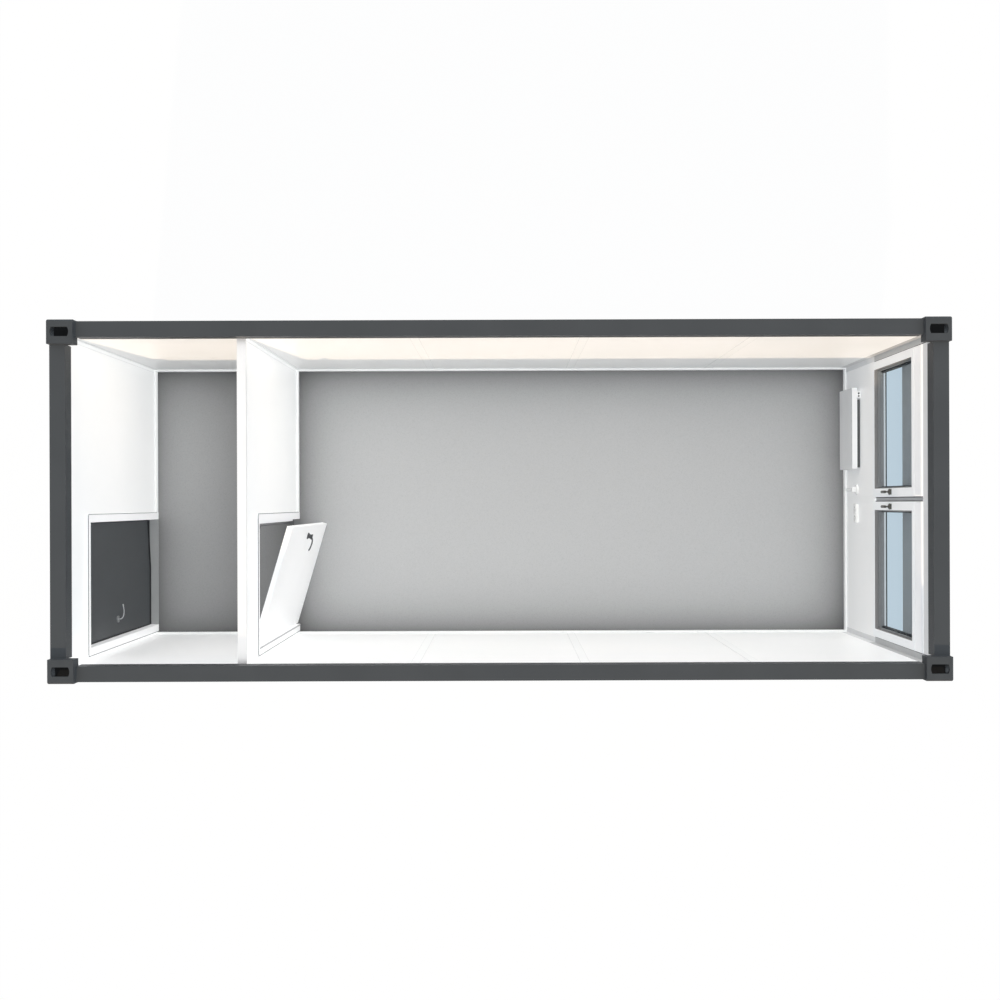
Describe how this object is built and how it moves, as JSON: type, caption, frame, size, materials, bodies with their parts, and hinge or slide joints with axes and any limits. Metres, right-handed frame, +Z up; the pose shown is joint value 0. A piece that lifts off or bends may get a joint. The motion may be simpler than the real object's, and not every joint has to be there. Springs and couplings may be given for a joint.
{
  "type": "office container without its roof",
  "caption": "Steel framed office container, open on top, with an entry room and a main room, a hinged door to each and shuttered windows.",
  "frame": {"origin": "on the ground, under the middle of the container's outer box", "axes": "+X along the container towards the window end, +Y across it towards the long wall on the left hand when facing the windows, +Z up"},
  "size_m": [6.058, 2.438, 2.8],
  "materials": {
    "frame_paint": "satin anthracite paint on folded steel",
    "casting_paint": "anthracite paint on cast steel",
    "panel_skin": "white coated sheet inside, pale grey coated sheet outside",
    "white_trim": "satin white extruded trim",
    "floor_vinyl": "matt grey vinyl sheet",
    "floor_wood": "raw chipboard",
    "galvanised": "galvanised sheet steel",
    "outer_leaf_paint": "anthracite powder coat",
    "inner_leaf_paint": "white powder coat",
    "door_frame_paint": "white powder coat",
    "hinge_steel": "brushed stainless steel",
    "outer_lever_steel": "brushed stainless steel",
    "inner_lever_steel": "dark satin metal",
    "window_pvc": "white extruded window profile",
    "window_glass": "clear double glazing",
    "window_handle_metal": "dark olive grey painted metal",
    "shutter_grey": "grey coated slats",
    "shutter_white": "white shutter housing and guides",
    "sill_aluminium": "folded anodised sheet",
    "heater_paint": "light grey powder coat",
    "socket_plastic": "white moulded plastic"
  },
  "bodies": {
    "container": {"top_corner_castings": "casting_paint", "bottom_corner_castings": "casting_paint", "corner_posts": "frame_paint", "top_rails": "frame_paint", "base_rail_north": "frame_paint", "base_rail_south": "frame_paint", "base_end_rails": "frame_paint", "forklift_pockets": "frame_paint", "floor_joists": "galvanised", "floor_board": "floor_wood", "floor_covering": "floor_vinyl", "floor_underside": "galvanised", "north_wall_panels": "panel_skin", "south_wall_panels": "panel_skin", "west_wall_panel": "panel_skin", "west_wall_over_door": "panel_skin", "east_wall_panels": "panel_skin", "east_wall_window_posts": "panel_skin", "partition_panel": "panel_skin", "partition_over_door": "panel_skin", "doorway_fillers": "panel_skin", "wall_joint_strips": "white_trim", "corner_trims": "white_trim", "skirting_boards": "white_trim", "outer_door_frame": "door_frame_paint", "outer_door_threshold": "sill_aluminium", "outer_frame_hinges": "hinge_steel", "inner_door_frame": "door_frame_paint", "inner_frame_hinges": "hinge_steel", "window_frames": "window_pvc", "window_sashes": "window_pvc", "window_panes": "window_glass", "window_handles": "window_handle_metal", "shutter_boxes": "shutter_white", "shutter_curtains": "shutter_grey", "shutter_guides": "shutter_white", "window_sills": "sill_aluminium", "heater_casing": "heater_paint", "heater_brackets_and_knob": "heater_paint", "wall_sockets": "socket_plastic"},
    "outer_door": {"outer_door_leaf": "outer_leaf_paint", "outer_door_leaf_hinges": "hinge_steel", "outer_door_roses": "outer_lever_steel"},
    "outer_lever": {"outer_door_lever": "outer_lever_steel"},
    "inner_door": {"inner_door_leaf": "inner_leaf_paint", "inner_door_leaf_hinges": "hinge_steel", "inner_door_roses": "inner_lever_steel"},
    "inner_lever": {"inner_door_lever": "inner_lever_steel"}
  },
  "joints": [
    {"name": "outer_door_hinge", "type": "hinge", "parent": "container", "child": "outer_door", "pos_m": [-3.023, -0.134, 1.15], "axis": [0, 0, -1], "range_deg": [0, 105]},
    {"name": "outer_lever_turn", "type": "hinge", "parent": "outer_door", "child": "outer_lever", "pos_m": [-2.985, -0.913, 1.185], "axis": [-1, 0, 0], "range_deg": [0, 40], "stiffness_Nm_per_rad": 0.5},
    {"name": "inner_door_hinge", "type": "hinge", "parent": "container", "child": "inner_door", "pos_m": [-1.728, -1.029, 1.15], "axis": [0, 0, -1], "range_deg": [-16.5, 73.5]},
    {"name": "inner_lever_turn", "type": "hinge", "parent": "inner_door", "child": "inner_lever", "pos_m": [-1.50079, -0.26194, 1.185], "axis": [0.9588, -0.284, 0], "range_deg": [0, 40], "stiffness_Nm_per_rad": 0.5}
  ]
}
